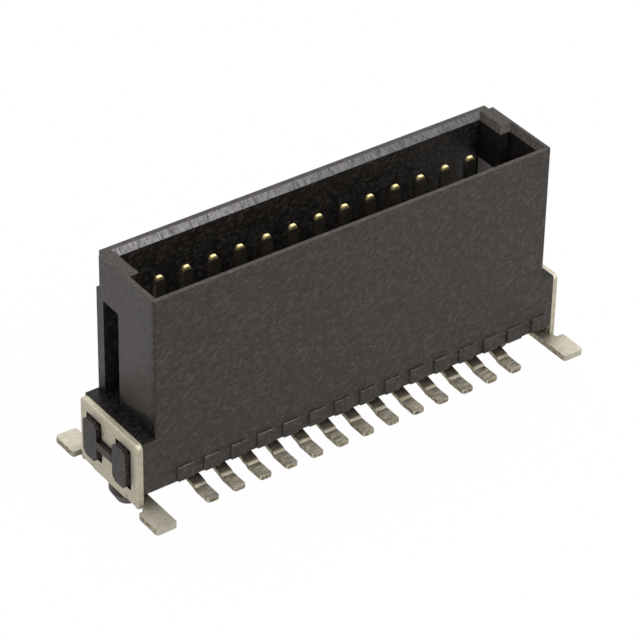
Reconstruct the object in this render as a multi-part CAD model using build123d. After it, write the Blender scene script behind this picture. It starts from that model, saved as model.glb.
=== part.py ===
from build123d import *
import os

# Straight two-row plug for joining two circuit boards, soldered flat on the board.
# Millimetres. X runs along the rows, Y across them, Z up. The board's top face is z = 0.
# The origin is on the board plane, midway between the two rows and the two ends.

# Contact pattern
pitch = 1.27                  # between neighbours in a row
positions = 13                # contacts in one row
row_spacing = 1.27            # between the two rows

# Housing body
end_space = 2.02              # last contact to the end face
side_space = 1.435            # row to the long face
rim_height = 9.74             # top of the rim above the board
underside_height = 0.75       # gap under the housing
floor_height = 3.10           # cavity floor above the board
front_wall = 0.48
back_wall = 0.48
end_wall = 0.36
lead_in = 0.24                # slope round the mouth
corner_radius = 0.06          # upright outer corners

# Keys, one in each end wall, at the back
key_wall = 0.84               # wall thickness at the key
key_width = 1.40              # from the cavity's back face
window_width = 1.06
window_inset = 0.07           # from the cavity's back face
window_top = 7.74

# Small notches at the two back corners of the rim
notch_width = 0.21
notch_depth = 0.30
notch_bottom = 8.10

# Ears, one at each end
ear_length = 0.59
ear_top = 3.24

# Pads along the lower long edges, between the leads
pad_width = 0.74
pad_height = 0.66
pad_proud = 0.08

# Locating pegs
peg_radius = 0.765
peg_inset = 0.09              # ear face to the peg's side
peg_offset = 0.44             # towards the back
peg_length = 1.32             # below the board plane
peg_taper_length = 0.53
peg_tip_radius = 0.465

# Contacts
blade_width = 0.50
strip_thickness = 0.19
blade_top = 8.67
tip_length = 0.30
tip_width = 0.20
tip_thickness = 0.14
slot_clearance = 0.02         # each side of the blade in the base
barb_height = 0.60
barb_bottom = 1.40
tail_width = 0.56
tail_drop = 0.27              # underside to the bend's corner
tail_bend_radius = 0.22
joggle_length = 0.14
joggle_rise = 0.075
joggle_radius = 0.15
foot_projection = 1.08        # toe past the long face
foot_length = 0.92
toe_radius = 0.10

# Hold-down clips
clip_thickness = 0.27
clip_bend_radius = 0.03
plate_top = 3.20
plate_corner = 0.22
plate_bottom = 0.15           # plate's lower edge beside the two bends
relief_width = 0.06           # slit on each side of a bend
relief_height = 0.05          # slit above the bend
tab_start = 1.25              # inner end of each tab from the middle
tab_bend_width = 0.55
clip_foot_gap = 0.08          # end face to the inner edge of the foot
clip_foot_width = 0.98
clip_foot_reach = 1.64        # toe past the long face
clip_neck_width = 0.62
clip_neck_length = 0.30       # from the long face to the wide part
clip_foot_radius = 0.13

# The raised H of the ear and the window round it
h_leg_spacing = 2.10
h_leg_width = 1.07
h_bottom = 0.79
h_top = 2.74
h_bar_bottom = 1.53
h_bar_top = 2.00
h_corner = 0.20
h_window_corner = 0.08
h_clearance = 0.05
h_proud = 0.22                # its face past the plate's outer face

# Places that follow from the sizes
row_y = row_spacing / 2
first_x = -(positions - 1) * pitch / 2
half_length = -first_x + end_space
half_width = row_y + side_space
cavity_front = half_width - front_wall
cavity_back = half_width - back_wall
key_front = cavity_back - key_width
ear_face = half_length + ear_length
plate_inner = ear_face
plate_outer = plate_inner + clip_thickness
slot_width = blade_width + 2 * slot_clearance
slot_thickness = strip_thickness + 2 * slot_clearance


def block(x0, x1, y0, y1, z0, z1):
    """A box between two corners."""
    size = Box(abs(x1 - x0), y1 - y0, z1 - z0)
    return Pos((x0 + x1) / 2, (y0 + y1) / 2, (z0 + z1) / 2) * size


def both_ends(piece):
    """A piece at the right end together with its mirror image at the left end."""
    return [piece, mirror(piece, about=Plane.YZ)]


def cavity():
    """The space above the floor, narrower between the keys."""
    wide_x = half_length - end_wall
    key_x = half_length - key_wall
    top = rim_height + lead_in
    front_part = block(-wide_x, wide_x, -cavity_front, key_front, floor_height, top)
    back_part = block(-key_x, key_x, key_front, cavity_back, floor_height, top)
    return front_part + back_part


def key_window():
    """The opening through the key of the right end wall, from the top of the ear."""
    back = cavity_back - window_inset
    inside = half_length - key_wall - lead_in
    return block(inside, half_length + lead_in, back - window_width, back, ear_top, window_top)


def corner_notch():
    """The step out of the right back corner of the rim."""
    x0 = half_length - notch_width
    y0 = half_width - notch_depth
    return block(x0, half_length + notch_width, y0, half_width + notch_depth, notch_bottom, rim_height + notch_depth)


def contact_slots():
    """The slots that hold the blades in the base."""
    centres = [Pos(first_x + i * pitch, side * row_y, 0) for i in range(positions) for side in (-1, 1)]
    depth = floor_height - underside_height
    slot = Pos(0, 0, underside_height + depth / 2) * Box(slot_width, slot_thickness, depth)
    return [centre * slot for centre in centres]


def base_pads():
    """The pads between the leads. The front row has one more at the right, the back row at the left."""
    pads = []
    for i in range(positions + 2):
        x = first_x + (i - 0.5) * pitch
        for side in (-1, 1):
            pad = Box(pad_width, 2 * pad_proud, pad_height)
            pads.append(Pos(-side * x, side * half_width, underside_height + pad_height / 2) * pad)
    return pads


def leg_outline(y, gap, corner):
    """One upright leg of the H in the YZ plane, with its corners cut off."""
    width = h_leg_width - 2 * gap
    height = h_top - h_bottom - 2 * gap
    leg = Rectangle(width, height)
    leg = chamfer(leg.vertices(), corner)
    return Pos(y, (h_top + h_bottom) / 2) * leg


def h_outline(gap, corner):
    """The H in the YZ plane, smaller all round by the gap: two legs and the bar between them."""
    back_leg = leg_outline(h_leg_spacing / 2, gap, corner)
    front_leg = leg_outline(-h_leg_spacing / 2, gap, corner)
    bar = Rectangle(h_leg_spacing, h_bar_top - h_bar_bottom - 2 * gap)
    return back_leg + front_leg + Pos(0, (h_bar_top + h_bar_bottom) / 2) * bar


def raised_h():
    """The H on the outer face of the right ear. It stands out through the clip's window."""
    face_x = plate_outer + h_proud
    return extrude(Plane.YZ.offset(ear_face) * h_outline(h_clearance, h_corner), face_x - ear_face)


def locating_peg():
    """The round peg under the right end."""
    straight = peg_length - peg_taper_length
    shank = underside_height + straight
    tip = -peg_length
    post = Pos(0, 0, underside_height - shank / 2) * Cylinder(peg_radius, shank)
    taper = Pos(0, 0, tip + peg_taper_length / 2) * Cone(peg_tip_radius, peg_radius, peg_taper_length)
    return Pos(ear_face - peg_inset - peg_radius, peg_offset, 0) * (post + taper)


def mouth_edges(shell):
    """The inner edges of the rim."""
    top = shell.faces().sort_by(Axis.Z)[-1]
    return top.inner_wires()[0].edges()


def housing():
    """The one-piece moulding."""
    body_plan = RectangleRounded(2 * half_length, 2 * half_width, corner_radius)
    base_plan = RectangleRounded(2 * ear_face, 2 * half_width, corner_radius)
    body = Pos(0, 0, underside_height) * extrude(body_plan, rim_height - underside_height)
    base = Pos(0, 0, underside_height) * extrude(base_plan, ear_top - underside_height)
    shell = body + base - cavity()
    shell = chamfer(mouth_edges(shell), lead_in)
    shell = shell - both_ends(key_window()) - both_ends(corner_notch())
    shell = shell + base_pads() + both_ends(raised_h()) + both_ends(locating_peg())
    return shell - contact_slots()


def contact():
    """One contact of the back row at x = 0: blade, barb, bend and solder foot."""
    blade_end = blade_top - tip_length
    blade_middle = (underside_height + blade_end) / 2
    blade = Pos(0, row_y, blade_middle) * Box(blade_width, strip_thickness, blade_end - underside_height)
    lower = Plane((0, row_y, blade_end)) * Rectangle(blade_width, strip_thickness)
    upper = Plane((0, row_y, blade_top)) * Rectangle(tip_width, tip_thickness)
    barb = Pos(0, row_y, barb_bottom + barb_height / 2) * Box(slot_width, strip_thickness, barb_height)
    return blade + loft([lower, upper]) + barb + contact_tail()


def contact_tail():
    """The bent tail: down from the base, outwards, down a small step and flat on the board."""
    toe_y = half_width + foot_projection
    heel_y = toe_y - foot_length
    flat_z = strip_thickness / 2
    points = [
        (0, row_y, underside_height),
        (0, row_y, underside_height - tail_drop),
        (0, heel_y - joggle_length, flat_z + joggle_rise),
        (0, heel_y, flat_z),
        (0, toe_y, flat_z),
    ]
    path = FilletPolyline(*points, radius=[tail_bend_radius, joggle_radius, joggle_radius])
    section = Plane(path @ 0, x_dir=(1, 0, 0), z_dir=path % 0) * Rectangle(tail_width, strip_thickness)
    tail = sweep(section, path)
    toe = tail.edges().filter_by(Axis.Z).group_by(Axis.Y)[-1]
    return fillet(toe, toe_radius)


def clip_foot():
    """One flat foot of the right clip, on the back side."""
    inner = half_length + clip_foot_gap
    bend_start = plate_inner - clip_bend_radius
    neck = inner + clip_neck_width
    outer = inner + clip_foot_width
    neck_y = half_width + relief_width
    shoulder_y = half_width + clip_neck_length
    toe_y = half_width + clip_foot_reach
    outline = Polyline(
        (inner, tab_start),
        (bend_start, tab_start),
        (bend_start, neck_y),
        (neck, neck_y),
        (neck, shoulder_y),
        (outer, shoulder_y),
        (outer, toe_y),
        (inner, toe_y),
        close=True,
    )
    plan = make_face(outline)
    corners = plan.vertices().group_by(Axis.Y)[-1] + plan.vertices().group_by(Axis.X)[-1]
    return extrude(fillet(set(corners), clip_foot_radius), clip_thickness)


def clip_bend():
    """The bend between the plate and the back foot of the right clip."""
    centre_x = plate_inner - clip_bend_radius
    centre_z = clip_thickness + clip_bend_radius
    ring = Circle(clip_bend_radius + clip_thickness) - Circle(clip_bend_radius)
    corner = Rectangle(plate_outer, plate_outer, align=(Align.MIN, Align.MAX))
    quarter = Pos(centre_x, centre_z) * (ring & corner)
    start = Plane(origin=(0, tab_start, 0), x_dir=(1, 0, 0), z_dir=(0, -1, 0))
    return extrude(start * quarter, -tab_bend_width)


def bend_cutout():
    """What leaves the plate over the back bend: the bend's own height and a slit on each side."""
    bend_top = clip_thickness + clip_bend_radius
    middle = tab_start + tab_bend_width / 2
    under = Rectangle(tab_bend_width, bend_top, align=(Align.CENTER, Align.MIN))
    slit = Rectangle(relief_width, bend_top + relief_height, align=(Align.CENTER, Align.MIN))
    offset = (tab_bend_width + relief_width) / 2
    return Pos(middle, 0) * (under + Pos(-offset, 0) * slit + Pos(offset, 0) * slit)


def clip_plate():
    """The upright plate of the right clip with its H window."""
    height = plate_top - plate_bottom
    sheet = Pos(0, plate_bottom + height / 2) * Rectangle(2 * half_width, height)
    sheet = fillet(sheet.vertices().group_by(Axis.Y)[-1], plate_corner)
    window = h_outline(0, h_window_corner)
    cutouts = bend_cutout() + mirror(bend_cutout(), about=Plane.YZ)
    return extrude(Plane.YZ.offset(plate_inner) * (sheet - window - cutouts), clip_thickness)


def hold_down():
    """The clip at the right end."""
    back_half = clip_foot() + clip_bend()
    return clip_plate() + back_half + mirror(back_half, about=Plane.XZ)


def save(piece, name):
    """Write one piece to its own file."""
    export_step(piece, os.path.join("parts", name + ".step"))


os.makedirs("parts", exist_ok=True)

save(housing(), "housing")

back_contact = contact()
front_contact = mirror(back_contact, about=Plane.XZ)
for i in range(positions):
    place = Pos(first_x + i * pitch, 0, 0)
    save(place * front_contact, f"contact_front_{i + 1:02d}")
    save(place * back_contact, f"contact_back_{i + 1:02d}")

right_clip = hold_down()
save(right_clip, "hold_down_right")
save(mirror(right_clip, about=Plane.YZ), "hold_down_left")
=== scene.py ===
import math

import bpy
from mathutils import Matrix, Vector


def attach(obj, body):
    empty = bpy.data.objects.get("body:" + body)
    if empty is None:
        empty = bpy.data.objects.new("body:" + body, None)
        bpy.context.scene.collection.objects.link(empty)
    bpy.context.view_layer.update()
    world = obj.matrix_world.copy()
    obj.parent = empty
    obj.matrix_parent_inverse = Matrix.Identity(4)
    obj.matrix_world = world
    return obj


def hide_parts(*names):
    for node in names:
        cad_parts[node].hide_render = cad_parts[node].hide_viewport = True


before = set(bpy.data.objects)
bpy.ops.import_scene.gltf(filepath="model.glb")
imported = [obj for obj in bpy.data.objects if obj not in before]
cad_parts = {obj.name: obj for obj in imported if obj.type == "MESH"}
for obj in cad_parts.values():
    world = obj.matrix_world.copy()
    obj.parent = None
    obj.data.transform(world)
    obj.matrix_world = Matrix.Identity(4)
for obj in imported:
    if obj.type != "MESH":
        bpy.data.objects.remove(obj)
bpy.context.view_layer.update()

# A tall two-row board to board plug: moulded housing, blade contacts, stamped end clips.
# Sizes are in millimetres with the board at height 0, and finish_piece brings a piece to metres.
MM = 0.001

# Sizes of the housing
HALF_LENGTH = 9.64           # half the length of the walls
EAR_FACE = 10.23             # outer face of the ears
HALF_WIDTH = 2.07
UNDERSIDE = 0.75
RIM = 9.74
EAR_TOP = 3.24
FLOOR = 3.10                 # floor of the cavity
FRONT_WALL = 0.48
BACK_WALL = 0.48
END_WALL = 0.36              # end wall in the front part
KEY_WALL = 0.84              # end wall with the key, in the back part
KEY_WIDTH = 1.40
LEAD_IN = 0.24               # slope round the mouth
WINDOW_WIDTH = 1.06          # opening through each key
WINDOW_INSET = 0.07
WINDOW_TOP = 7.74
NOTCH_WIDTH = 0.21           # notch at each back corner of the rim
NOTCH_DEPTH = 0.30
NOTCH_BOTTOM = 8.10
PAD_WIDTH = 0.74             # small pads between the leads
PAD_HEIGHT = 0.66
PAD_PROUD = 0.08
PEG_X = 9.375
PEG_Y = 0.44
PEG_RADIUS = 0.765
PEG_LENGTH = 1.32            # reach below the board
PEG_TAPER = 0.53
PEG_TIP_RADIUS = 0.465
WALL_CORNER = 0.10           # rounding of the four upright corners
MOULD_EDGE = 0.035           # small rounding of every moulded edge
SHADE_FRONT = 0.66           # painted shade at the left end wall's foot, its height at the front
SHADE_MIDDLE = 0.20          # and in the middle of the wall

# Sizes of the contacts
PITCH = 1.27
POSITIONS = 13
ROW_Y = 0.635
STRIP = 0.19                 # thickness of the strip
BLADE_WIDTH = 0.50
BLADE_TOP = 8.67
TIP_LENGTH = 0.30
TIP_WIDTH = 0.20
TIP_THICKNESS = 0.14
TIP_ROUNDING = 0.06
TAIL_WIDTH = 0.56
TAIL_DROP = 0.27             # straight run under the housing, to the bend's corner
TAIL_BEND = 0.22
JOGGLE_LENGTH = 0.14         # small step down to the board
JOGGLE_RISE = 0.075
JOGGLE_RADIUS = 0.15
TOE_Y = 3.15
FOOT_LENGTH = 0.92
TOE_CORNER = 0.13
CONTACT_EDGE = 0.022         # small rounding of the stamped edges

# Sizes of the end clips
CLIP = 0.27                  # thickness of the strip
PLATE_INNER = 10.23
PLATE_OUTER = 10.50
PLATE_TOP = 3.20
PLATE_BOTTOM = 0.15
PLATE_CORNER = 0.22
ROLLED_EDGE = 0.09           # rounding of the plate's outer outline
BEND_INSIDE = 0.03
TAB_START = 1.25
TAB_WIDTH = 0.55
FOOT_INNER = 9.72
FOOT_WIDTH = 0.98
NECK_WIDTH = 0.62
NECK_LENGTH = 0.30
CLIP_TOE_Y = 3.71
CLIP_CORNER = 0.13
CLIP_EDGE = 0.025            # small rounding of the stamped edges
SLIT = 0.06                  # slit on each side of the bend
SLIT_RISE = 0.05             # and its height over the bend

# Sizes of the raised H on each ear and of the window round it
H_SPACING = 2.10
H_LEG = 1.07
H_BOTTOM = 0.79
H_TOP = 2.74
H_BAR_BOTTOM = 1.53
H_BAR_TOP = 2.00
H_CORNER = 0.20
H_GAP = 0.05                 # gap between the H and its window
H_FACE = 10.72
WINDOW_CORNER = 0.03

# Sizes that follow from the others
FIRST_X = -(POSITIONS - 1) * PITCH / 2
CAVITY_BACK = HALF_WIDTH - BACK_WALL
KEY_FRONT = CAVITY_BACK - KEY_WIDTH
BEND_TOP = CLIP + BEND_INSIDE

# How far shapes run on
LAP = 0.2                    # into the shape that they join
ROOT = 0.3                   # a peg or a tail, up into the base
PAD_ROOT = 0.05              # a pad, into the wall
SPARE = 1.0                  # a block, past the face that it opens or stands on
SHORT_SPARE = 0.6            # and a window's or a notch's block, along the rows

# How faces and edges are told apart
NEAR = 0.001                 # a point this near a plane lies on it
CLOSE = 0.01                 # and this near is enough after a bend or a cut
ROUGHLY = 0.05               # and this near where no other face can be meant
OFF_WALL = 0.005             # a middle this far out of a wall belongs to what stands on it
SKIN = 0.02                  # depth in which the middles of a wall's own faces lie
EDGE_ZONE = 0.04             # strip along a moulded edge that its rounding takes up
FLAT = 0.999                 # a face is flat across an axis where its normal's share is over this
FACING = 0.9                 # and looks along it where the share is over this
TURNED = 0.6                 # and is turned towards it where over this
LEANING = 0.3                # and leans towards it where over this
SMOOTH_UNDER = 32            # degrees under which neighbouring faces shade as one

# Finishes
GLOSS = 0.54                 # gloss of the moulded plastic
DULL_GLOSS = 0.36            # and on the raised H
GLOSS_TINT = (1.0, 0.85, 0.775)
HIGHLIGHT_FADE = 9.0               # half the length over which the painted highlight on the torn places fades, growing darker to the right
EVEN = (1, 1, 1)             # grains alike in all directions

# Floor, light and camera
FLOOR_WHITE = 0.985          # share of the floor that is plain white to the camera
GLOSS_SHARE = 0.80           # and in gloss
GLOSS_WHITE = 0.88           # how white it is there
WORLD_LIGHT = 0.4            # level at which the world lights matte surfaces
LAMP_AIM = 0.004             # height in metres that the lamps face
LENS = 190.738
SENSOR = 36.0
CAMERA_PLACE = (-0.066749, -0.089978, 0.083293)     # in metres
CAMERA_TURN = (54.658, -0.9735, -35.7577)           # in degrees


# Modelling steps

def only(piece):
    """Selects one piece alone and makes it the active one."""
    bpy.ops.object.select_all(action="DESELECT")
    piece.select_set(True)
    bpy.context.view_layer.objects.active = piece


def settle(piece):
    """Puts a piece's place, turn and scale into its mesh."""
    only(piece)
    bpy.ops.object.transform_apply(location=True, rotation=True, scale=True)
    return piece


def block(low, high):
    """A box between two corners."""
    middle = [(a + b) / 2 for a, b in zip(low, high)]
    size = [b - a for a, b in zip(low, high)]
    bpy.ops.mesh.primitive_cube_add(size=1, location=middle, scale=size)
    return settle(bpy.context.active_object)


def run_modifier(piece, kind, **settings):
    """Adds one modifier and applies it."""
    only(piece)
    modifier = piece.modifiers.new(kind.title(), kind)
    for key, value in settings.items():
        setattr(modifier, key, value)
    bpy.ops.object.modifier_apply(modifier=modifier.name)
    return piece


def combine(piece, other, operation):
    """Joins the other shape to the piece or cuts it away, and drops the other shape."""
    run_modifier(piece, "BOOLEAN", object=other, operation=operation, solver="EXACT")
    bpy.data.objects.remove(other, do_unlink=True)
    return piece


def cut(piece, tool):
    """Cuts a shape out of the piece."""
    return combine(piece, tool, "DIFFERENCE")


def fuse(piece, *parts):
    """Joins shapes to the piece, one after the other."""
    for part in parts:
        combine(piece, part, "UNION")
    return piece


def twin_of(piece):
    """A copy with its own mesh."""
    twin = piece.copy()
    twin.data = piece.data.copy()
    bpy.context.scene.collection.objects.link(twin)
    return twin


def moved_copy(piece, shift):
    """A copy moved by a shift."""
    twin = twin_of(piece)
    twin.location = shift
    return settle(twin)


def mirrored(piece, axis):
    """A copy mirrored across one axis, about the origin, with its faces outwards."""
    twin = twin_of(piece)
    twin.scale[axis] = -1
    settle(twin)
    bpy.ops.object.mode_set(mode="EDIT")
    bpy.ops.mesh.select_all(action="SELECT")
    bpy.ops.mesh.normals_make_consistent(inside=False)
    bpy.ops.object.mode_set(mode="OBJECT")
    return twin


def clear_selection(piece, kind):
    """Sets edit mode to edges or faces, deselects them all, and goes back to object mode."""
    only(piece)
    bpy.ops.object.mode_set(mode="EDIT")
    bpy.ops.mesh.select_mode(type=kind)
    bpy.ops.mesh.select_all(action="DESELECT")
    bpy.ops.object.mode_set(mode="OBJECT")


def edit_edges(piece, wanted):
    """Opens the piece in edit mode with the edges selected whose two ends pass the test."""
    clear_selection(piece, "EDGE")
    points = piece.data.vertices
    for edge in piece.data.edges:
        a, b = (points[i].co for i in edge.vertices)
        edge.select = bool(wanted(a, b))
    bpy.ops.object.mode_set(mode="EDIT")


def edit_faces(piece, wanted):
    """Opens the piece in edit mode with the faces selected that pass the test."""
    clear_selection(piece, "FACE")
    for face in piece.data.polygons:
        face.select = bool(wanted(face.center, face.normal))
    bpy.ops.object.mode_set(mode="EDIT")


def round_edges(piece, wanted, width, segments):
    """Rounds the edges that pass the test, or chamfers them with one segment."""
    edit_edges(piece, wanted)
    bpy.ops.mesh.bevel(offset=width, segments=segments, affect="EDGES")
    bpy.ops.object.mode_set(mode="OBJECT")
    return piece


def clean(piece):
    """Merges doubled points and joins the coplanar faces that a union leaves."""
    only(piece)
    bpy.ops.object.mode_set(mode="EDIT")
    bpy.ops.mesh.select_all(action="SELECT")
    bpy.ops.mesh.remove_doubles(threshold=0.0005)
    bpy.ops.mesh.dissolve_limited(angle_limit=math.radians(0.5))
    bpy.ops.object.mode_set(mode="OBJECT")
    return piece


def soften(piece, width, sharp):
    """Gives every edge over a sharpness (degrees) a small rounding, and shades the piece smooth over it."""
    run_modifier(
        piece, "BEVEL", width=width, segments=2,
        limit_method="ANGLE", angle_limit=math.radians(sharp), use_clamp_overlap=True,
        miter_outer="MITER_ARC", loop_slide=False,
    )
    only(piece)
    bpy.ops.object.shade_smooth_by_angle(angle=math.radians(SMOOTH_UNDER))
    run_modifier(piece, "WEIGHTED_NORMAL", keep_sharp=True, weight=100)
    return piece


def draw_face(offset):
    """Draws the selected faces out in a straight run."""
    bpy.ops.mesh.extrude_region_move(TRANSFORM_OT_translate={"value": offset})


def bend_face(centre, angle, axis, steps):
    """Carries the selected end face round a bend.

    The spin operator turns left-handed, so the angle changes sign.
    """
    bpy.ops.mesh.spin(steps=steps, angle=-angle, center=centre, axis=axis)


def draw_out(piece, wanted, offset):
    """Draws out the faces that pass the test."""
    edit_faces(piece, wanted)
    draw_face(offset)
    bpy.ops.object.mode_set(mode="OBJECT")


def finish_piece(piece, name, slot, nodes, *materials):
    """Brings a piece to metres, names it, gives it its materials and ties it to the frame."""
    piece.scale = (MM, MM, MM)
    settle(piece)
    piece.name = name
    piece.data.name = name
    for material in materials:
        piece.data.materials.append(material)
    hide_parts(*nodes)
    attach(piece, "root")
    return piece


def paint(piece, material, wanted):
    """Gives one of the piece's materials to the faces that pass the test."""
    index = piece.data.materials.find(material.name)
    for face in piece.data.polygons:
        if wanted(face.center / MM, face.normal):
            face.material_index = index


def upright(a, b):
    """An edge that stands straight up."""
    return abs(a.x - b.x) + abs(a.y - b.y) < NEAR


def lengthwise(a, b):
    """An edge that runs the way the rows do."""
    return abs(a.x - b.x) > CLOSE


def looks_down(centre, normal):
    """A lower face."""
    return normal.z < -FACING


def looks_up(centre, normal):
    """An upper face."""
    return normal.z > FACING


# Material nodes

def new_material(name, colour, roughness, metallic=0.0):
    """A material with one plain shader, and that shader."""
    material = bpy.data.materials.new(name)
    material.use_nodes = True
    shader = material.node_tree.nodes["Principled BSDF"]
    shader.inputs["Base Color"].default_value = (*colour, 1)
    shader.inputs["Roughness"].default_value = roughness
    shader.inputs["Metallic"].default_value = metallic
    return material, shader


def feed(owner, socket, value):
    """Gives a socket a plain number or colour, or links another node's output to it."""
    if isinstance(value, (float, tuple)):
        socket.default_value = value
    else:
        owner.node_tree.links.new(value, socket)


def maths(owner, operation, *values):
    """One sum over numbers and outputs, in a material or the world."""
    node = owner.node_tree.nodes.new("ShaderNodeMath")
    node.operation = operation
    for socket, value in zip(node.inputs, values):
        feed(owner, socket, value)
    return node.outputs["Value"]


def blend(material, kind, share, first, second):
    """Mixes two colours, each an output to link or a plain colour."""
    mix = material.node_tree.nodes.new("ShaderNodeMix")
    mix.data_type = "RGBA"
    mix.blend_type = kind
    colour_sockets = (mix.inputs[0], mix.inputs[6], mix.inputs[7])
    for socket, value in zip(colour_sockets, (share, first, second)):
        feed(material, socket, value)
    return mix.outputs[2]


def noise(material, scale, detail=3.0, roughness=0.5, stretch=EVEN, turn=(0, 0, 0)):
    """Noise on the piece's own coordinates, with as many grains to the metre as the scale says.

    The stretch lengthens the grains along the three axes, which the turn (degrees) tilts first.
    """
    nodes = material.node_tree.nodes
    links = material.node_tree.links
    place = nodes.new("ShaderNodeTexCoord")
    mapping = nodes.new("ShaderNodeMapping")
    mapping.vector_type = "TEXTURE"
    mapping.inputs["Rotation"].default_value = [math.radians(angle) for angle in turn]
    mapping.inputs["Scale"].default_value = stretch
    grain = nodes.new("ShaderNodeTexNoise")
    grain.inputs["Scale"].default_value = scale
    grain.inputs["Detail"].default_value = detail
    grain.inputs["Roughness"].default_value = roughness
    links.new(place.outputs["Object"], mapping.inputs["Vector"])
    links.new(mapping.outputs["Vector"], grain.inputs["Vector"])
    return grain.outputs["Fac"]


def ramp(material, value, stops):
    """A colour ramp over a value, from a list of places and colours."""
    node = material.node_tree.nodes.new("ShaderNodeValToRGB")
    material.node_tree.links.new(value, node.inputs["Fac"])
    elements = node.color_ramp.elements
    while len(elements) < len(stops):
        elements.new(0.5)
    for element, (place, colour) in zip(elements, stops):
        element.position = place
        element.color = (*colour, 1)
    return node.outputs["Color"]


def greys(low, high):
    """Stops for a ramp between two grey values, over the middle of the noise."""
    return [(0.3, (low, low, low)), (0.7, (high, high, high))]


def fade(material, axis, start, end, low, high):
    """A value that goes from low to high between two places (mm) on an axis.

    Along Y it goes alike on both sides of the middle.
    """
    place = material.node_tree.nodes.new("ShaderNodeTexCoord")
    split = material.node_tree.nodes.new("ShaderNodeSeparateXYZ")
    feed(material, split.inputs["Vector"], place.outputs["Object"])
    along = split.outputs[axis]
    if axis == "Y":
        along = maths(material, "ABSOLUTE", along)
    spread = material.node_tree.nodes.new("ShaderNodeMapRange")
    ends = {"From Min": start * MM, "From Max": end * MM, "To Min": low, "To Max": high}
    for name, value in ends.items():
        spread.inputs[name].default_value = value
    feed(material, spread.inputs["Value"], along)
    return spread.outputs["Result"]


def bump(material, shader, height, strength, distance, below=None):
    """Bump from a height value, on top of another bump if one is given."""
    node = material.node_tree.nodes.new("ShaderNodeBump")
    node.inputs["Strength"].default_value = strength
    node.inputs["Distance"].default_value = distance
    material.node_tree.links.new(height, node.inputs["Height"])
    if below is not None:
        material.node_tree.links.new(below, node.inputs["Normal"])
    material.node_tree.links.new(node.outputs["Normal"], shader.inputs["Normal"])
    return node.outputs["Normal"]


# Materials

def housing_plastic(name, gloss):
    """Black glass-filled plastic, matte, with the slanted flow marks and fine grain of the moulding."""
    material, shader = new_material(name, (0.009, 0.0082, 0.0074), roughness=0.36)
    shader.inputs["Specular IOR Level"].default_value = gloss
    shader.inputs["Specular Tint"].default_value = (*GLOSS_TINT, 1)
    flow = noise(material, scale=6400, detail=5, roughness=0.70, stretch=(1.5, 1, 1), turn=(0, -29, 0))
    shades = [
        (0.36, (0.0020, 0.0018, 0.0016)),
        (0.50, (0.0080, 0.0074, 0.0066)),
        (0.64, (0.0420, 0.0380, 0.0345)),
    ]
    feed(material, shader.inputs["Base Color"], ramp(material, flow, shades))
    grain = noise(material, scale=14000, detail=3, roughness=0.6)
    feed(material, shader.inputs["Roughness"], ramp(material, grain, greys(0.28, 0.50)))
    coarse = bump(material, shader, flow, strength=0.6, distance=0.00004)
    bump(material, shader, grain, strength=1.0, distance=0.00003, below=coarse)
    return material


def wall_foot_shade_plastic(name, gloss):
    """The same plastic with painted shade at the wall's foot, mottled, reaching higher up towards the
    wall's two edges.
    """
    material = housing_plastic(name, gloss)
    shader = material.node_tree.nodes["Principled BSDF"]
    height = fade(material, "Z", EAR_TOP, EAR_TOP + 1, 0.0, 1.0)
    shade_top = fade(material, "Y", 0, HALF_WIDTH, SHADE_MIDDLE + 0.25, SHADE_FRONT + 0.35)
    # This border lies over the wedge that housing() cuts, and the blotches make it ragged.
    blotches = noise(material, scale=5500, detail=5, roughness=0.8)
    over_shade = maths(material, "SUBTRACT", height, shade_top)
    ragged = maths(material, "ADD", over_shade, blotches)
    # Painted shade: the gloss's colour goes to black below the ragged border.
    shade_tint = ramp(material, ragged, [(0.42, (0.0, 0.0, 0.0)), (0.57, GLOSS_TINT)])
    feed(material, shader.inputs["Specular Tint"], shade_tint)
    return material


def shade_black_plastic():
    """The same plastic painted deep black but for a few pale specks, with a low gloss: painted shade for
    the ear tops under the end walls and for the wedge at the left end wall's foot.
    """
    material, shader = new_material("housing_shade_black", (0.002, 0.0019, 0.0017), roughness=0.30)
    shader.inputs["Specular IOR Level"].default_value = 0.16
    specks = noise(material, scale=6500, detail=5, roughness=0.7)
    shades = [(0.44, (0.002, 0.0019, 0.0017)), (0.64, (0.044, 0.042, 0.039))]
    feed(material, shader.inputs["Base Color"], ramp(material, specks, shades))
    bump(material, shader, specks, strength=0.5, distance=0.00003)
    return material


def torn_and_highlit_plastic(name, left, right):
    """The same plastic where the mould leaves it torn, scratched and pale, with a painted highlight that
    fades between its shares at the two ends.
    """
    material, shader = new_material(name, (0.16, 0.152, 0.155), roughness=0.5)
    scratches = noise(material, scale=9000, detail=5, roughness=0.75, stretch=(1, 3.3, 3.3))
    shades = [
        (0.34, (0.04, 0.037, 0.038)),
        (0.46, (0.18, 0.170, 0.176)),
        (0.66, (0.40, 0.380, 0.395)),
    ]
    # Painted highlight: paler towards the left end, darker towards the right.
    highlight_falloff = fade(material, "X", -HIGHLIGHT_FADE, HIGHLIGHT_FADE, left, right)
    pale = blend(material, "MULTIPLY", 1.0, ramp(material, scratches, shades), highlight_falloff)
    feed(material, shader.inputs["Base Color"], pale)
    bump(material, shader, scratches, strength=0.9, distance=0.00006)
    return material


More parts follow.
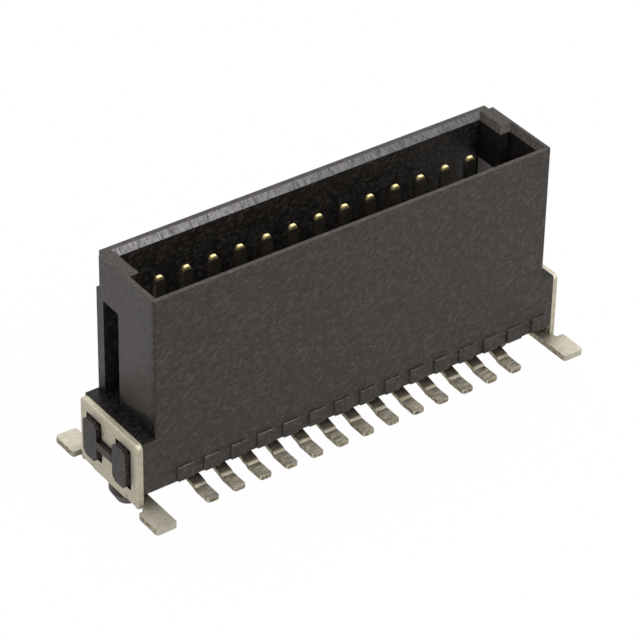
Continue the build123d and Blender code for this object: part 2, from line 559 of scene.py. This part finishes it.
def tin_plate(name, colour, roughness, contrast, stretch=EVEN, painted_shade_reach=None, darkest=0.85):
    """Matte tin plating, cloudy, with drawing marks where the stretch makes its clouds long.

    With a reach (mm) it gets a painted shade that far out from the housing, darkest beside it.
    """
    material, shader = new_material(name, colour, roughness, metallic=1.0)
    cloud = noise(material, scale=4200, detail=5, roughness=0.6, stretch=stretch)
    dark = tuple((1 - contrast) * c for c in colour)
    light = tuple((1 + contrast) * c for c in colour)
    shade = ramp(material, cloud, [(0.34, dark), (0.66, light)])
    if painted_shade_reach:
        # Painted shade: dark brown mixed in beside the housing, fading outwards.
        painted_shade = fade(material, "Y", HALF_WIDTH, HALF_WIDTH + painted_shade_reach, darkest, 0.0)
        shade = blend(material, "MIX", painted_shade, shade, (0.08, 0.062, 0.042, 1))
    feed(material, shader.inputs["Base Color"], shade)
    fine = noise(material, scale=15000, detail=3)
    uneven = ramp(material, fine, greys(roughness - 0.06, roughness + 0.08))
    feed(material, shader.inputs["Roughness"], uneven)
    clouds = bump(material, shader, cloud, strength=0.35, distance=0.00002)
    bump(material, shader, fine, strength=0.25, distance=0.00001, below=clouds)
    return material


def gold_plate():
    """Gold on the mating part of the contacts, bright and softly worn at the tip, with the blade below it
    painted dark as shade in the cavity.
    """
    material, shader = new_material("blade_gold", (0.30, 0.26, 0.18), roughness=0.2, metallic=1.0)
    haze = noise(material, scale=4000, detail=2)
    # Painted shade: the blade below the tip is a dark grey, as the cavity shades it.
    thin = ramp(material, haze, [(0.3, (0.34, 0.31, 0.25)), (0.7, (0.50, 0.46, 0.38))])
    tip_out_of_shade = fade(material, "Z", BLADE_TOP - 0.24, BLADE_TOP - 0.10, 0.0, 1.0)
    gold_colour = blend(material, "MIX", tip_out_of_shade, thin, (1.0, 0.83, 0.42, 1))
    feed(material, shader.inputs["Base Color"], gold_colour)
    worn = fade(material, "Z", BLADE_TOP - 0.22, BLADE_TOP - 0.08, 0.32, 0.55)
    feed(material, shader.inputs["Roughness"], worn)
    return material


def bare_cut():
    """The sheared end of plated copper alloy strip, part smeared plating and part dull metal."""
    material, shader = new_material("bare_cut_edge", (0.20, 0.17, 0.12), roughness=0.5, metallic=1.0)
    tear = noise(material, scale=6000, detail=4, roughness=0.6)
    shades = [(0.38, (0.14, 0.115, 0.070)), (0.60, (0.44, 0.39, 0.29))]
    feed(material, shader.inputs["Base Color"], ramp(material, tear, shades))
    bump(material, shader, tear, strength=0.3, distance=0.00003)
    return material


# Housing

def h_leg(y, gap, corner, x0, x1):
    """One upright leg of the H as a bar along X, with its four long corners cut off."""
    half = H_LEG / 2 - gap
    leg = block((x0, y - half, H_BOTTOM + gap), (x1, y + half, H_TOP - gap))
    return round_edges(leg, lengthwise, corner, segments=1)


def h_shape(gap, corner, x0, x1):
    """The H as a bar along X."""
    half = H_SPACING / 2
    bar = block((x0, -half, H_BAR_BOTTOM + gap), (x1, half, H_BAR_TOP - gap))
    return fuse(h_leg(half, gap, corner, x0, x1), h_leg(-half, gap, corner, x0, x1), bar)


def peg():
    """The right locating peg, with its tapered end drawn out of a cylinder's lower face."""
    shank_bottom = PEG_TAPER - PEG_LENGTH
    shank_top = UNDERSIDE + ROOT
    bpy.ops.mesh.primitive_cylinder_add(
        vertices=48, radius=PEG_RADIUS, depth=shank_top - shank_bottom,
        location=(PEG_X, PEG_Y, (shank_top + shank_bottom) / 2),
    )
    post = settle(bpy.context.active_object)
    edit_faces(post, looks_down)
    draw_face((0, 0, -PEG_TAPER))
    share = PEG_TIP_RADIUS / PEG_RADIUS
    bpy.ops.transform.resize(value=(share, share, 1), center_override=(PEG_X, PEG_Y, 0))
    bpy.ops.object.mode_set(mode="OBJECT")
    return post


def pad_row(side):
    """The pads along one long side. Each row has one more pad past one end's lead."""
    inner, outer = sorted((side * (HALF_WIDTH - PAD_ROOT), side * (HALF_WIDTH + PAD_PROUD)))
    half = PAD_WIDTH / 2
    pads = []
    for i in range(POSITIONS + 2):
        x = -side * (FIRST_X + (i - 0.5) * PITCH)
        pads.append(block((x - half, inner, UNDERSIDE), (x + half, outer, UNDERSIDE + PAD_HEIGHT)))
    only(pads[0])
    for pad in pads:
        pad.select_set(True)
    bpy.ops.object.join()
    return bpy.context.active_object


def round_the_mouth(a, b):
    """The inner edges of the rim."""
    return all(
        abs(p.z - RIM) < NEAR
        and abs(p.x) < HALF_LENGTH - WALL_CORNER
        and abs(p.y) < HALF_WIDTH - WALL_CORNER
        for p in (a, b)
    )


def left_end_face(centre, normal):
    """The flat face of the left end wall above its ear, before its edges are rounded."""
    return centre.x < CLOSE - HALF_LENGTH and centre.z > EAR_TOP and normal.x < -FACING


def housing():
    """The one-piece moulding."""
    body = block((-EAR_FACE, -HALF_WIDTH, UNDERSIDE), (EAR_FACE, HALF_WIDTH, EAR_TOP))
    walls = block((-HALF_LENGTH, -HALF_WIDTH, EAR_TOP - SPARE), (HALF_LENGTH, HALF_WIDTH, RIM))
    fuse(body, round_edges(walls, upright, WALL_CORNER, segments=4))
    clean(body)

    wide = HALF_LENGTH - END_WALL
    narrow = HALF_LENGTH - KEY_WALL
    front = block((-wide, FRONT_WALL - HALF_WIDTH, FLOOR), (wide, KEY_FRONT, RIM + SPARE))
    back = block((-narrow, KEY_FRONT - LAP, FLOOR), (narrow, CAVITY_BACK, RIM + SPARE))
    cut(body, fuse(front, back))
    clean(body)
    round_edges(body, round_the_mouth, LEAD_IN, segments=1)

    window_back = CAVITY_BACK - WINDOW_INSET
    for side in (-1, 1):
        x0, x1 = sorted((side * (narrow - SHORT_SPARE), side * HALF_LENGTH))
        cut(body, block((x0, window_back - WINDOW_WIDTH, EAR_TOP), (x1, window_back, WINDOW_TOP)))
        x0, x1 = sorted((side * (HALF_LENGTH - NOTCH_WIDTH), side * (HALF_LENGTH + SHORT_SPARE)))
        notch_low = (x0, HALF_WIDTH - NOTCH_DEPTH, NOTCH_BOTTOM)
        cut(body, block(notch_low, (x1, HALF_WIDTH + SPARE, RIM + SPARE)))
    for side in (-1, 1):
        fuse(body, pad_row(side))
    boss = h_shape(H_GAP, H_CORNER, EAR_FACE - LAP, H_FACE)
    fuse(body, mirrored(boss, 0), boss)
    post = peg()
    fuse(body, mirrored(post, 0), post)
    clean(body)

    # The slanted cut is the top of the wedge that is painted as shade at the wall's foot.
    edit_faces(body, left_end_face)
    bpy.ops.mesh.bisect(
        plane_co=(-HALF_LENGTH, -HALF_WIDTH, EAR_TOP + SHADE_FRONT),
        plane_no=(0, SHADE_FRONT - SHADE_MIDDLE, HALF_WIDTH),
    )
    bpy.ops.object.mode_set(mode="OBJECT")
    return soften(body, MOULD_EDGE, sharp=25)


def on_lead_in(centre, normal):
    """The long slope at the back of the mouth, which the mould leaves rough."""
    slope = RIM - LEAD_IN < centre.z < RIM and TURNED < normal.z < 0.8
    return slope and centre.y > CAVITY_BACK - CLOSE


def on_pad_edge(centre, normal):
    """The narrow top and sides of a pad."""
    top = UNDERSIDE + PAD_HEIGHT
    low = centre.z < top + 0.1
    over = top - MOULD_EDGE < centre.z and low and normal.z > TURNED
    side = low and abs(normal.x) > TURNED and abs(centre.x) < HALF_LENGTH - 0.2
    return abs(centre.y) > HALF_WIDTH + OFF_WALL and (over or side)


def on_ear_top(centre, normal):
    """The ledge on top of each ear, which runs on into the window."""
    return abs(centre.z - EAR_TOP) < EDGE_ZONE and normal.z > LEANING


def on_raised_h(centre, normal):
    """The H that stands out of each ear."""
    return abs(centre.x) > EAR_FACE + SKIN


def on_left_end(centre, normal):
    """The left end wall above its ear."""
    outside = centre.x < SKIN - HALF_LENGTH and normal.x < -FACING
    return outside and centre.z > EAR_TOP + EDGE_ZONE


def on_shaded_wedge(centre, normal):
    """The wedge at the foot of the left end wall, under the slanted cut."""
    return on_left_end(centre, normal) and centre.z < EAR_TOP + SHADE_FRONT


# Contacts

def at_blade_top(a, b):
    """The edges round the top of a blade."""
    return min(a.z, b.z) > BLADE_TOP - NEAR


def blade():
    """The blade of a back-row contact, its top drawn in to the tip."""
    half_width = BLADE_WIDTH / 2
    half_strip = STRIP / 2
    piece = block(
        (-half_width, ROW_Y - half_strip, UNDERSIDE),
        (half_width, ROW_Y + half_strip, BLADE_TOP - TIP_LENGTH),
    )
    edit_faces(piece, looks_up)
    draw_face((0, 0, TIP_LENGTH))
    share = (TIP_WIDTH / BLADE_WIDTH, TIP_THICKNESS / STRIP, 1)
    bpy.ops.transform.resize(value=share, center_override=(0, ROW_Y, BLADE_TOP))
    bpy.ops.object.mode_set(mode="OBJECT")
    return round_edges(piece, at_blade_top, TIP_ROUNDING, segments=4)


def toe_corner(a, b):
    """The two upright corners of the toe."""
    return abs(a.y - TOE_Y) < NEAR and upright(a, b)


def tail():
    """The bent tail of a back-row contact: from the base down, out, over a small step, flat on the board.

    It starts as a thin slice, whose lower face is carried along straight runs and bends.
    """
    heel_y = TOE_Y - FOOT_LENGTH
    flat_z = STRIP / 2
    corners = [
        Vector((0, ROW_Y, UNDERSIDE + ROOT)),
        Vector((0, ROW_Y, UNDERSIDE - TAIL_DROP)),
        Vector((0, heel_y - JOGGLE_LENGTH, flat_z + JOGGLE_RISE)),
        Vector((0, heel_y, flat_z)),
        Vector((0, TOE_Y, flat_z)),
    ]
    radii = [TAIL_BEND, JOGGLE_RADIUS, JOGGLE_RADIUS]
    slice_height = 0.01
    top = corners[0].z
    low = (-TAIL_WIDTH / 2, ROW_Y - STRIP / 2, top - slice_height)
    piece = block(low, (TAIL_WIDTH / 2, ROW_Y + STRIP / 2, top))
    edit_faces(piece, looks_down)
    here = corners[0] - Vector((0, 0, slice_height))
    for before, corner, after, radius in zip(corners, corners[1:], corners[2:], radii):
        way_in = (corner - before).normalized()
        way_out = (after - corner).normalized()
        turn = math.atan2(way_in.cross(way_out).x, way_in.dot(way_out))
        reach = radius * math.tan(abs(turn) / 2)
        start = corner - way_in * reach
        draw_face(start - here)
        inward = (way_out - way_in * way_in.dot(way_out)).normalized()
        bend_face(start + inward * radius, turn, axis=(1, 0, 0), steps=6)
        here = corner + way_out * reach
    draw_face(corners[-1] - here)
    bpy.ops.object.mode_set(mode="OBJECT")
    return round_edges(piece, toe_corner, TOE_CORNER, segments=4)


def on_blade(centre, normal):
    """All of a contact above the housing's underside."""
    return centre.z > UNDERSIDE


def bare_on_contact(centre, normal):
    """The cut end of the toe and the sheared sides of the tail."""
    toe = abs(normal.y) > TURNED and abs(centre.y) > TOE_Y - ROUGHLY
    tail_side = abs(normal.x) > FACING and centre.z < UNDERSIDE
    return toe or tail_side


# End clips

def plate_shoulder(a, b):
    """The two upper corners of the plate, as edges through its thickness."""
    return lengthwise(a, b) and a.z > PLATE_TOP - CLOSE


def plate_outline(a, b):
    """The edges round the plate's outer face, but for its lower one."""
    outside = min(a.x, b.x) > PLATE_OUTER - NEAR
    return outside and max(a.z, b.z) > PLATE_BOTTOM + CLOSE


def clip_plate():
    """The upright plate with its H window, cut away under the two bends with a slit on each side."""
    plate = block((PLATE_INNER, -HALF_WIDTH, PLATE_BOTTOM), (PLATE_OUTER, HALF_WIDTH, PLATE_TOP))
    round_edges(plate, plate_shoulder, PLATE_CORNER, segments=6)
    round_edges(plate, plate_outline, ROLLED_EDGE, segments=4)
    cut(plate, h_shape(0, WINDOW_CORNER, PLATE_INNER - SPARE / 2, PLATE_OUTER + SPARE / 2))
    for side in (-1, 1):
        inner, outer = sorted((side * TAB_START, side * (TAB_START + TAB_WIDTH)))
        for y0, y1, top in (
            (inner - SLIT / 2, outer + SLIT / 2, BEND_TOP),
            (inner - SLIT, inner, BEND_TOP + SLIT_RISE),
            (outer, outer + SLIT, BEND_TOP + SLIT_RISE),
        ):
            cut(plate, block((0, y0, -SPARE), (PLATE_OUTER + SPARE, y1, top)))
            clean(plate)
    return plate


def fold_foot(plate, side):
    """Folds one foot out of the plate's lower edge.

    First the bend and the tab under the housing, then the neck, and then the pad on the board.
    """
    start = PLATE_INNER - BEND_INSIDE
    tab_end = TAB_START + TAB_WIDTH
    middle = side * (TAB_START + TAB_WIDTH / 2)
    neck_start = HALF_WIDTH + SLIT
    neck_end = HALF_WIDTH + NECK_LENGTH
    neck_side = FOOT_INNER + NECK_WIDTH
    foot_side = FOOT_INNER + FOOT_WIDTH

    def over_bend(centre, normal):
        """The plate's short lower face between the two slits."""
        here = abs(centre.z - BEND_TOP) < CLOSE and abs(centre.y - middle) < ROUGHLY
        return here and looks_down(centre, normal)

    def outward(reach, limit=foot_side):
        """Low faces that look away from the middle, at that distance from it, up to a limit along X."""
        def wanted(centre, normal):
            there = abs(side * centre.y - reach) < CLOSE and side * normal.y > FACING
            return there and centre.z < CLIP and centre.x < limit
        return wanted

    def endward(x, reach):
        """Low faces that look along the rows from that x, past that distance from the middle."""
        def wanted(centre, normal):
            there = abs(centre.x - x) < CLOSE and normal.x > FACING
            return there and centre.z < CLIP and side * centre.y > reach
        return wanted

    edit_faces(plate, over_bend)
    bend_face((start, 0, BEND_TOP), math.pi / 2, axis=(0, 1, 0), steps=8)
    draw_face((FOOT_INNER - start, 0, 0))
    bpy.ops.object.mode_set(mode="OBJECT")

    draw_out(plate, outward(tab_end, start), (0, side * (neck_start - tab_end), 0))
    draw_out(plate, outward(neck_start), (0, side * (neck_end - neck_start), 0))
    draw_out(plate, endward(start, neck_start), (neck_side - start, 0, 0))
    draw_out(plate, outward(neck_end), (0, side * (CLIP_TOE_Y - neck_end), 0))
    draw_out(plate, endward(neck_side, neck_end), (foot_side - neck_side, 0, 0))


def on_plate(centre, normal):
    """The plate's two large flat faces."""
    return abs(normal.x) > FLAT and centre.x > PLATE_INNER - CLOSE


def divide_plate(piece):
    """Cuts the plate's large faces along the edges of the window and of the slits.

    After that, none of them has a hole or a long arm.
    """
    rows = [H_SPACING / 2 - H_LEG / 2, TAB_START - SLIT, TAB_START + TAB_WIDTH + SLIT]
    heights = [BEND_TOP + SLIT_RISE, H_BOTTOM, H_BAR_BOTTOM, H_BAR_TOP, H_TOP]
    cuts = [((0, 0, z), (0, 0, 1)) for z in heights]
    cuts += [((0, side * y, 0), (0, 1, 0)) for side in (-1, 1) for y in rows]
    for place, direction in cuts:
        edit_faces(piece, on_plate)
        bpy.ops.mesh.bisect(plane_co=place, plane_no=direction)
        bpy.ops.object.mode_set(mode="OBJECT")


def foot_corner(a, b):
    """The upright corners of the feet, at the toe and on the outer side."""
    low = max(a.z, b.z) < CLIP + CLOSE
    far = abs(a.y) > CLIP_TOE_Y - CLOSE or a.x > FOOT_INNER + FOOT_WIDTH - CLOSE
    return upright(a, b) and low and far


def hold_down():
    """The clip at the right end, stamped and folded from one strip."""
    piece = clip_plate()
    for side in (-1, 1):
        fold_foot(piece, side)
    clean(piece)
    divide_plate(piece)
    return round_edges(piece, foot_corner, CLIP_CORNER, segments=5)


def on_foot(centre, normal):
    """The two feet, outside the housing's long faces."""
    return abs(centre.y) > HALF_WIDTH + OFF_WALL and centre.z < CLIP + CLOSE


def in_window(point):
    """Whether a point lies on the edge of the H window or inside it."""
    reach = (H_SPACING + H_LEG) / 2 + CLOSE
    return abs(point.y) < reach and H_BOTTOM - CLOSE < point.z < H_TOP + CLOSE


def bare_on_clip(centre, normal):
    """The sheared faces inside the window and along the feet."""
    foot_side = abs(centre.y) > HALF_WIDTH + ROUGHLY and centre.z < CLIP and abs(normal.x) > FACING
    window_side = in_window(centre) and abs(normal.x) < LEANING
    return foot_side or window_side


# Pieces

plastic = housing_plastic("housing_plastic", GLOSS)
dull_plastic = housing_plastic("housing_dull", DULL_GLOSS)
# Painted shade at the foot of the left end wall.
wall_foot_shade = wall_foot_shade_plastic("housing_wall_foot_shade", GLOSS)
# Painted shade: deep black, low-gloss plastic for the ear tops and the wedge at the wall's foot.
smooth = shade_black_plastic()
# The mouth's back slope: torn pale plastic, partly a painted highlight that fades from left to right.
rim_torn_and_highlit = torn_and_highlit_plastic("housing_rim_torn_and_highlit", left=1.0, right=0.36)
# Painted highlight for the pads' edges, paler towards the left.
pads_torn_and_highlit = torn_and_highlit_plastic("housing_pads_torn_and_highlit", left=0.80, right=0.40)
tin = tin_plate("clip_tin", (0.53, 0.487, 0.39), roughness=0.60, contrast=0.10)
# The feet get painted shade beside the housing.
foot_tin = tin_plate(
    "clip_foot_tin", (0.51, 0.48, 0.40), roughness=0.60, contrast=0.10,
    painted_shade_reach=0.75, darkest=0.56,
)
# The leads get painted shade where they come out from under the housing.
lead_tin = tin_plate(
    "lead_tin", (0.60, 0.55, 0.455), roughness=0.55, contrast=0.42,
    stretch=(2.0, 0.56, 0.56), painted_shade_reach=0.50,
)
gold = gold_plate()
bare = bare_cut()

moulding = finish_piece(
    housing(), "housing_moulding", "housing_plastic", ["housing"],
    plastic, rim_torn_and_highlit, pads_torn_and_highlit, smooth, dull_plastic, wall_foot_shade,
)
# The back slope of the mouth gets torn pale plastic with its painted highlight.
paint(moulding, rim_torn_and_highlit, on_lead_in)
# Painted highlight: the pads' top edges and sides are painted pale.
paint(moulding, pads_torn_and_highlit, on_pad_edge)
# The ear tops are painted deep black, as the shade that the end walls cast on them.
paint(moulding, smooth, on_ear_top)
paint(moulding, dull_plastic, on_raised_h)
# The left end wall gets painted shade at its foot, and the wedge under the slanted cut is painted deep
# black as shade.
paint(moulding, wall_foot_shade, on_left_end)
paint(moulding, smooth, on_shaded_wedge)

right_clip = hold_down()
for piece, side in ((mirrored(right_clip, 0), "left"), (right_clip, "right")):
    soften(piece, CLIP_EDGE, sharp=35)
    finish_piece(piece, f"clip_{side}", "clip_metal", [f"hold_down_{side}"], tin, foot_tin, bare)
    paint(piece, foot_tin, on_foot)
    paint(piece, bare, bare_on_clip)

back_contact = clean(fuse(blade(), tail()))
front_contact = mirrored(back_contact, 1)
for model, row in ((front_contact, "front"), (back_contact, "back")):
    soften(model, CONTACT_EDGE, sharp=30)
    for i in range(POSITIONS):
        number = f"{i + 1:02d}"
        piece = moved_copy(model, (FIRST_X + i * PITCH, 0, 0))
        node = f"contact_{row}_{number}"
        finish_piece(piece, f"blade_{row}_{number}", "contact_metal", [node], lead_tin, gold, bare)
        paint(piece, gold, on_blade)
        paint(piece, bare, bare_on_contact)
    bpy.data.objects.remove(model, do_unlink=True)


# Floor, light and camera

def floor_material():
    """Pale floor that shows white to the camera, with a faint shadow, and light grey in gloss."""
    material, shader = new_material("studio_floor", (0.80, 0.80, 0.80), roughness=0.9)
    nodes = material.node_tree.nodes
    rays = nodes.new("ShaderNodeLightPath").outputs
    glow = nodes.new("ShaderNodeEmission")
    glow.inputs["Color"].default_value = (1, 1, 1, 1)
    strength = maths(material, "MULTIPLY_ADD", rays["Is Glossy Ray"], GLOSS_WHITE - 1, 1.0)
    feed(material, glow.inputs["Strength"], strength)
    in_gloss = maths(material, "MULTIPLY", rays["Is Glossy Ray"], GLOSS_SHARE)
    share = maths(material, "MULTIPLY_ADD", rays["Is Camera Ray"], FLOOR_WHITE, in_gloss)
    mix = nodes.new("ShaderNodeMixShader")
    feed(material, mix.inputs["Fac"], share)
    feed(material, mix.inputs[1], shader.outputs["BSDF"])
    feed(material, mix.inputs[2], glow.outputs["Emission"])
    feed(material, nodes["Material Output"].inputs["Surface"], mix.outputs["Shader"])
    return material


def studio_world():
    """A world that is white to the camera, in gloss and through glass, and dimmer as a light."""
    world = bpy.data.worlds.new("studio")
    world.use_nodes = True
    nodes = world.node_tree.nodes
    sky = nodes["Background"]
    sky.inputs["Color"].default_value = (1, 1, 1, 1)
    rays = nodes.new("ShaderNodeLightPath").outputs
    seen = maths(world, "MAXIMUM", rays["Is Camera Ray"], rays["Is Glossy Ray"])
    seen_through = maths(world, "MAXIMUM", seen, rays["Is Transmission Ray"])
    level = nodes.new("ShaderNodeMapRange")
    level.inputs["To Min"].default_value = WORLD_LIGHT
    level.inputs["To Max"].default_value = 1.0
    feed(world, level.inputs["Value"], seen_through)
    feed(world, sky.inputs["Strength"], level.outputs["Result"])
    return world


def softbox(name, direction, distance, size, power):
    """A square lamp (metres, watts) that faces the object from a direction."""
    lamp = bpy.data.lights.new(name, "AREA")
    lamp.shape = "SQUARE"
    lamp.size = size
    lamp.energy = power
    holder = bpy.data.objects.new(name, lamp)
    bpy.context.scene.collection.objects.link(holder)
    toward = Vector(direction).normalized()
    holder.location = toward * distance + Vector((0, 0, LAMP_AIM))
    holder.rotation_euler = toward.to_track_quat("Z", "Y").to_euler()


bpy.ops.object.select_all(action="DESELECT")
bpy.ops.mesh.primitive_plane_add(size=2.0, location=(0, 0, -PEG_LENGTH * MM))
floor = bpy.context.active_object
floor.name = "studio_floor"
floor.data.materials.append(floor_material())

bpy.context.scene.world = studio_world()
softbox("key_softbox", (0.24, -0.58, 0.78), distance=0.40, size=0.26, power=1.0)
softbox("top_softbox", (0.10, 0.25, 0.95), distance=0.50, size=0.30, power=1.0)

camera_data = bpy.data.cameras.new("camera")
camera_data.sensor_width = SENSOR
camera_data.lens = LENS
camera_data.clip_start = 0.01
camera_data.clip_end = 5.0
camera = bpy.data.objects.new("camera", camera_data)
bpy.context.scene.collection.objects.link(camera)
camera.location = CAMERA_PLACE
camera.rotation_euler = [math.radians(angle) for angle in CAMERA_TURN]
bpy.context.scene.camera = camera

bpy.context.scene.view_settings.view_transform = "Standard"
